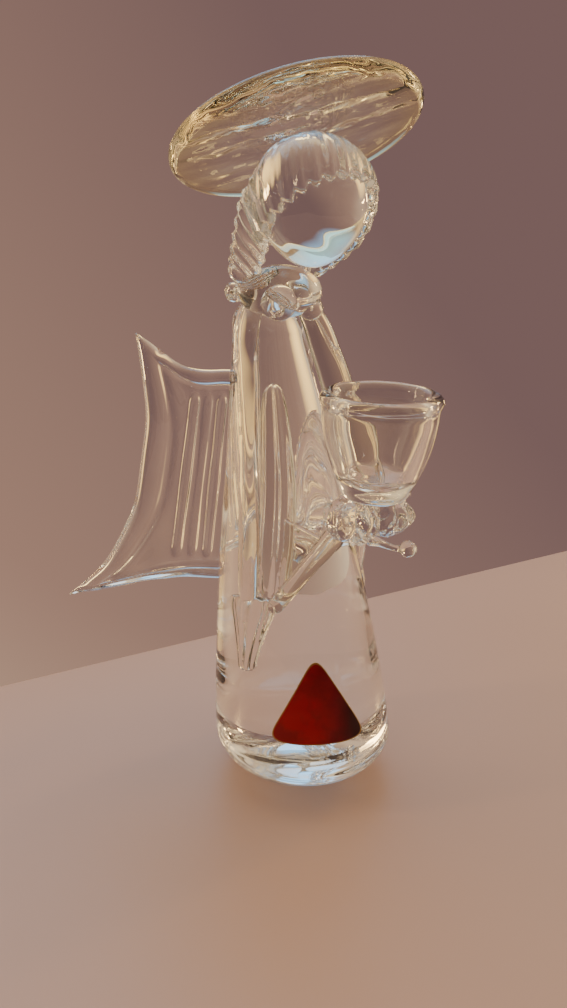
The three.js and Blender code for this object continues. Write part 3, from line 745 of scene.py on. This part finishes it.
def wingPoints(side):
    # A Coons patch between four curved edges. Its rim is a full round, with a groove inside it, and
    # long slanting ribs stand on the inner half. It is swept back from its root and bowed a little.
    size = wingSize

    def outline(angle, reach):
        # A circle stretched to a square, then each place blended between the four edges. The distance
        # in from the edge is a soft minimum of the distances to the four sides.
        c, s = np.cos(angle), np.sin(angle)
        stretch = reach / np.maximum(np.abs(c), np.abs(s))
        a = (0.5 + 0.5 * stretch * c)[..., None].clip(0, 1)
        v = (0.5 + 0.5 * stretch * s)[..., None].clip(0, 1)
        bottom, top, outer = (spline(size[edge], share.ravel()).reshape(*share.shape[:2], 2)
                              for edge, share in (("bottom", a), ("top", a), ("outer", v)))
        low, high = np.array(size["bottom"][0]), np.array(size["top"][0])
        inner = low + (high - low) * v
        lowTip, highTip = np.array(size["bottom"][-1]), np.array(size["top"][-1])
        corners = (1 - a) * (1 - v) * low + (1 - a) * v * high + a * (1 - v) * lowTip + a * v * highTip
        flat = (1 - v) * bottom + v * top + (1 - a) * inner + a * outer - corners
        wide = (outer - inner)[..., 0]
        tall = (top - bottom)[..., 1]
        a, v = a[..., 0], v[..., 0]
        sides = [a * wide, (1 - a) * wide * size["outerWeight"], v * tall, (1 - v) * tall]
        inset = (np.stack(sides).clip(1e-4) ** -size["soften"]).sum(0) ** (-1 / size["soften"])
        return flat, inset

    def half(flat, inset):
        # A quarter circle at the rim, thinner towards the tips, less a bell-shaped groove and a shallow
        # hollow, plus a bell-shaped ridge along each rib's slanting line
        away, up = flat[..., 0], flat[..., 1]
        tip = np.clip((away - size["tipFrom"]) / size["tipLength"], 0, 1)
        rounded = np.sqrt(1 - (1 - np.clip(inset / size["round"], 0, 1)) ** 2)
        rim = size["thick"] / 2 * (1 - size["thinning"] * tip) * rounded
        fromGroove = inset - size["grooveAt"]
        groove = size["groove"] * np.exp(-(fromGroove / size["grooveWidth"]) ** 2)
        hollow = size["hollow"] * np.clip(fromGroove / size["hollowFade"], 0, 1)
        ridge = 0
        for start, slant, width, height in size["ribs"]:
            offLine = away - start - slant * (size["ribPivot"] - up)
            ridge = ridge + height * np.exp(-(offLine / width) ** 2)
        fade = (np.clip((up - size["ribsLow"]) / size["ribsFade"], 0, 1)
                * np.clip((size["ribsHigh"] - up) / size["ribsFade"], 0, 1))
        fade = fade * fade * (3 - 2 * fade)
        return np.maximum(rim - groove - hollow, size["leastShare"] * rim) + ridge * fade

    flat, high = plate(outline, half, size["rows"], size["columns"])
    sweep = math.radians(size["sweep"])
    sign = sideSign[side]
    away = np.array([sign * math.sin(sweep), math.cos(sweep), 0])
    across = np.array([math.cos(sweep), -sign * math.sin(sweep), 0])
    root = np.array([sign * size["root"][0], size["root"][1], 0])
    bow = size["bow"] * np.sin(np.clip(flat[..., :1] / size["bowLength"], 0, 1) * math.pi) * sign
    points = root + away * flat[..., :1] + across * (high[..., None] - bow)
    points = points + np.array([0, 0, 1]) * flat[..., 1:]
    return uneven(points, 0.2, 14, 61)


for side in sideSign:
    makePiece(side + "Wing", wingPoints(side), clearGlass, [side + "_wing"])
print("wings ready")


labelSize = {"azimuth": 27.8, "low": 24.1, "width": 31, "height": 25.8, "soften": 4.7, "turn": 2,
             "lift": 0.32, "thick": 0.2, "wavy": 0.05, "columns": 360, "rows": 60}


def labelPoints():
    # A triangle with round corners. The reach at each angle is a soft minimum of the distances to its
    # three sides, and the flat shape is then bent round the gown.
    size = labelSize
    columns, rows = size["columns"], size["rows"]
    angle = np.linspace(0, 2 * math.pi, columns, endpoint=False)
    half, height = size["width"] / 2, size["height"]
    middle = np.array([0, height / 3])
    slope = math.atan2(height, half)
    facing = np.array([-math.pi / 2, math.pi / 2 - slope, math.pi / 2 + slope])
    slanting = half * math.sin(slope) - middle[1] * math.cos(slope)
    inset = np.array([height / 3, slanting, slanting])
    along = np.cos(angle[:, None] - facing)
    edge = 1 / ((np.maximum(along, 1e-6) / inset) ** size["soften"]).sum(1) ** (1 / size["soften"])
    reach = np.concatenate([np.linspace(0, 1, rows), np.linspace(1, 0, rows)])
    side = np.concatenate([np.ones(rows), -np.ones(rows)])
    angle = angle - math.radians(size["turn"])
    outline = np.stack([np.cos(angle) * edge, np.sin(angle) * edge], -1)
    flat = middle + outline[None] * reach[:, None, None]
    z = size["low"] + flat[..., 1]
    wave = waver(np.stack([flat[..., 0], z, 0 * z], -1), 6, 71)
    out = size["lift"] + side[:, None] * size["thick"] / 2 + size["wavy"] * wave
    radius = gownRadius(z) + out
    turn = math.radians(size["azimuth"]) - flat[..., 0] / gownRadius(z)
    points = np.stack([-radius * np.sin(turn), gownLean(z) - radius * np.cos(turn), z], -1)
    return points, np.repeat(reach[:, None], columns, 1), flat[..., 0] / half


def spread(grid):
    # One value per vertex of a closed mesh: a pole, the rows between, and the other pole
    return np.concatenate([grid[:1].mean(1), grid[1:-1].ravel(), grid[-1:].mean(1)]).astype(np.float32)


labelGrid, labelReach, labelAside = labelPoints()
label = makePiece("label", labelGrid, foilMaterial(), ["label"], glass=False)
for attribute, grid in (("reach", labelReach), ("aside", labelAside)):
    label.data.attributes.new(attribute, "FLOAT", "POINT").data.foreach_set("value", spread(grid))
print("label ready")


def faceCentres(mesh):
    # The middle of every face
    centres = np.empty(len(mesh.polygons) * 3)
    mesh.polygons.foreach_get("center", centres)
    return centres.reshape(-1, 3)


def fuse(pieces):
    # A face is buried in the weld when its middle is inside another gather of glass: the way to it
    # from that gather's nearest spot runs against the surface there
    trees = {}
    for piece in pieces:
        vertices = np.empty(len(piece.data.vertices) * 3)
        piece.data.vertices.foreach_get("co", vertices)
        faces = [list(face.vertices) for face in piece.data.polygons]
        corners = vertices.reshape(-1, 3)
        tree = BVHTree.FromPolygons(corners.tolist(), faces)
        trees[piece.name] = (tree, corners.min(0), corners.max(0))
    for piece in pieces:
        centres = faceCentres(piece.data)
        buried = np.zeros(len(centres), bool)
        for other in pieces:
            if other is piece:
                continue
            tree, low, high = trees[other.name]
            near = np.nonzero(((centres > low) & (centres < high)).all(1) & ~buried)[0]
            for index in near:
                spot, normal = tree.find_nearest(centres[index])[:2]
                away = centres[index] - np.array(spot)
                buried[index] = away @ np.array(normal) < 0
        piece.data.materials.append(weld)
        piece.data.polygons.foreach_set("material_index", buried.astype(np.int32))
        piece.data.update()


fuse(glassPieces)
print("welds ready:", len(glassPieces), "gathers of glass")


tableLook = {"centre": (60, -150), "half": (460, 236), "squareness": 12, "thick": 6, "turn": -11,
             "drop": 0.15, "columns": 240, "pale": (0.83, 0.555, 0.45), "dark": (0.78, 0.515, 0.415),
             "roughness": 0.4, "cloudScale": 9, "cloudDetail": 2}


def tableTop():
    # A pale slab: a superellipse with a softened edge, turned a little, a hair below the gown's flat
    size = tableLook
    columns, power = size["columns"], size["squareness"]
    angle = np.linspace(0, 2 * math.pi, columns, endpoint=False)
    c, s = np.cos(angle), np.sin(angle)
    stretch = (np.abs(c) ** power + np.abs(s) ** power) ** (-1 / power)
    rim = np.stack([c * stretch * size["half"][0], s * stretch * size["half"][1]], -1)
    # From the middle of the top out, down round the edge, and back under
    scale = np.array([0, 0.4, 0.8, 0.99, 0.997, 1.0, 0.997, 0.99, 0])
    height = -np.array([0, 0, 0, 0, 0.1, 0.5, 0.9, 1, 1]) * size["thick"] - size["drop"]
    turn = math.radians(size["turn"])
    flat = rim[None] * scale[:, None, None] + np.array(size["centre"])
    x = flat[..., 0] * math.cos(turn) - flat[..., 1] * math.sin(turn)
    y = flat[..., 0] * math.sin(turn) + flat[..., 1] * math.cos(turn)
    points = np.stack([x, y, np.repeat(height[:, None], columns, 1)], -1)
    table = bpy.data.objects.new("tableTop", closedMesh("tableTop", points))
    bpy.context.collection.objects.link(table)
    material, nodes, links, shader = nodeMaterial("paleTable")
    shader.inputs["Roughness"].default_value = size["roughness"]
    cloud = cloudNoise(nodes, links, ownCoordinates(nodes), size["cloudScale"], size["cloudDetail"])
    shade = shadeRamp(nodes, links, cloud, [(0, size["dark"]), (1, size["pale"])])
    links.new(shade, shader.inputs["Base Color"])
    table.data.materials.append(material)


# The wall's shades run along a slanting line, and the room's from behind the camera round to the wall
wallLook = {"slant": (0.295, -0.075, 0.19), "from": -0.16, "to": 0.16,
            "shades": [(0.0, (0.47, 0.268, 0.190)), (0.5, (0.33, 0.195, 0.150)),
                       (1.0, (0.195, 0.115, 0.108))]}
roomLook = {"ahead": (0.643, 0.766, 0), "near": 0.86, "far": 0.62,
            "shades": [(0.0, (0.022, 0.017, 0.015)), (0.27, (0.06, 0.042, 0.034)),
                       (0.42, (0.55, 0.40, 0.25)), (0.62, (1.25, 0.97, 0.60)),
                       (0.80, (0.72, 0.50, 0.33)), (1.0, (0.4, 0.25, 0.18))]}
# Compass and height are a lobe's direction, core and reach its spread, all in degrees
roomLobes = [
    {"compass": 24, "height": 42, "core": 8, "reach": 27, "colour": (0.50, 0.92, 1.35)},
    {"compass": 40, "height": -54, "core": 5, "reach": 15, "colour": (0.95, 0.66, 0.32)},
    {"compass": -2, "height": -24, "core": 3, "reach": 15, "colour": (2.4, 1.5, 0.52)},
    {"compass": 82, "height": -20, "core": 3, "reach": 17, "colour": (2.4, 1.5, 0.52)},
]


def room():
    # The wall behind the figure is a soft slanting gradient. Beside it the room brightens, and behind
    # the camera it is dark, so that the glass has bright sides and thin dark outlines.
    world = bpy.data.worlds.new("room")
    bpy.context.scene.world = world
    world.use_nodes = True
    nodes, links = world.node_tree.nodes, world.node_tree.links
    place = nodes.new("ShaderNodeTexCoord")

    def along(axis, low, high):
        # How far a direction runs along an axis, from 0 at low to 1 at high
        dot = nodes.new("ShaderNodeVectorMath")
        dot.operation = "DOT_PRODUCT"
        dot.inputs[1].default_value = axis
        level = nodes.new("ShaderNodeMapRange")
        level.inputs["From Min"].default_value = low
        level.inputs["From Max"].default_value = high
        links.new(place.outputs["Generated"], dot.inputs[0])
        links.new(dot.outputs["Value"], level.inputs["Value"])
        return level.outputs["Result"]

    acrossWall = along(wallLook["slant"], wallLook["from"], wallLook["to"])
    wall = shadeRamp(nodes, links, acrossWall, wallLook["shades"])
    beside = shadeRamp(nodes, links, along(roomLook["ahead"], -1, 1), roomLook["shades"])
    blend = nodes.new("ShaderNodeMix")
    blend.data_type = "RGBA"
    pastWall = along(roomLook["ahead"], roomLook["near"], roomLook["far"])
    for socket, colour in (("Factor", pastWall), ("A", wall), ("B", beside)):
        links.new(colour, blend.inputs[socket])
    shade = blend.outputs["Result"]
    for lobe in roomLobes:
        # A soft glow round one direction, fading from its core to its reach
        compass, height = math.radians(lobe["compass"]), math.radians(lobe["height"])
        level = math.cos(height)
        facing = (math.sin(compass) * level, math.cos(compass) * level, math.sin(height))
        low, high = math.cos(math.radians(lobe["reach"])), math.cos(math.radians(lobe["core"]))
        shade = blendColours(nodes, links, along(facing, low, high), shade, lobe["colour"])
    links.new(shade, nodes["Background"].inputs["Color"])


softLights = [
    {"name": "coolCeiling", "at": (0.19, 0.42, 0.92), "size": (0.8, 0.62), "glow": 1.1,
     "colour": (0.30, 0.62, 1.0)},
    {"name": "goldUnder", "at": (0.174, 0.207, -0.21), "size": (0.22, 0.05), "glow": 4,
     "colour": (1.0, 0.70, 0.25)},
    {"name": "warmRight", "at": (0.80, -0.02, 0.45), "size": (0.08, 0.12), "glow": 24,
     "colour": (1.0, 0.64, 0.26)},
    {"name": "warmLeft", "at": (-0.60, 0.35, 0.35), "size": (0.05, 0.2), "glow": 20,
     "colour": (1.0, 0.66, 0.30)},
    {"name": "sparkRight", "at": (0.80, 0.26, 0.08), "size": (0.05, 0.09), "glow": 20,
     "colour": (1.0, 0.62, 0.22)},
    {"name": "sparkLeft", "at": (-0.10, 0.80, 0.10), "size": (0.05, 0.09), "glow": 20,
     "colour": (1.0, 0.62, 0.22)},
    {"name": "keyFront", "at": (-0.5, -0.62, 0.85), "size": (0.06, 0.06), "glow": 32,
     "colour": (1.0, 0.90, 0.76)},
]


def standAt(name, data, at, right, up, back):
    # A lamp or a camera at a place, its three axes the columns of its turn
    holder = bpy.data.objects.new(name, data)
    bpy.context.collection.objects.link(holder)
    turn = Matrix(np.column_stack([right, up, back]).tolist()).to_4x4()
    holder.matrix_world = Matrix.Translation(at) @ turn
    return holder


def lightRoom():
    # Each lamp faces the figure's middle: back is the way out to it, and right is level
    target = np.array([0, 0, 0.1])
    for lamp in softLights:
        data = bpy.data.lights.new(lamp["name"], "AREA")
        data.shape = "RECTANGLE"
        data.size, data.size_y = lamp["size"]
        # Watts are the lamp's glow times its area times pi
        data.energy = lamp["glow"] * lamp["size"][0] * lamp["size"][1] * math.pi
        data.color = lamp["colour"]
        back = unit(np.array(lamp["at"]) - target)
        right = unit(np.cross([0, 0, 1], back))
        standAt(lamp["name"], data, lamp["at"], right, np.cross(back, right), back)


cameraView = {"at": (-0.1412, -0.1557, 0.1654), "azimuth": 40, "pitch": 20.3, "roll": 1.6,
              "lens": 27.86, "sensor": 36, "nearest": 0.01}


def placeCamera():
    # Looking level along the azimuth, pitched down, then rolled about the line of sight
    view = cameraView
    azimuth, pitch, roll = (math.radians(view[key]) for key in ("azimuth", "pitch", "roll"))
    ahead = np.array([math.cos(pitch) * math.sin(azimuth), math.cos(pitch) * math.cos(azimuth),
                      -math.sin(pitch)])
    level = np.array([math.cos(azimuth), -math.sin(azimuth), 0])
    upright = np.cross(level, ahead)
    right = level * math.cos(roll) + upright * math.sin(roll)
    up = upright * math.cos(roll) - level * math.sin(roll)
    data = bpy.data.cameras.new("view")
    data.lens = view["lens"]
    data.sensor_width = view["sensor"]
    data.clip_start = view["nearest"]
    bpy.context.scene.camera = standAt("view", data, view["at"], right, up, -ahead)


tableTop()
room()
lightRoom()
placeCamera()
cycles = bpy.context.scene.cycles
cycles.max_bounces = 28
cycles.transmission_bounces = 28
cycles.glossy_bounces = 12
cycles.transparent_max_bounces = 40
print("table, light and camera ready")
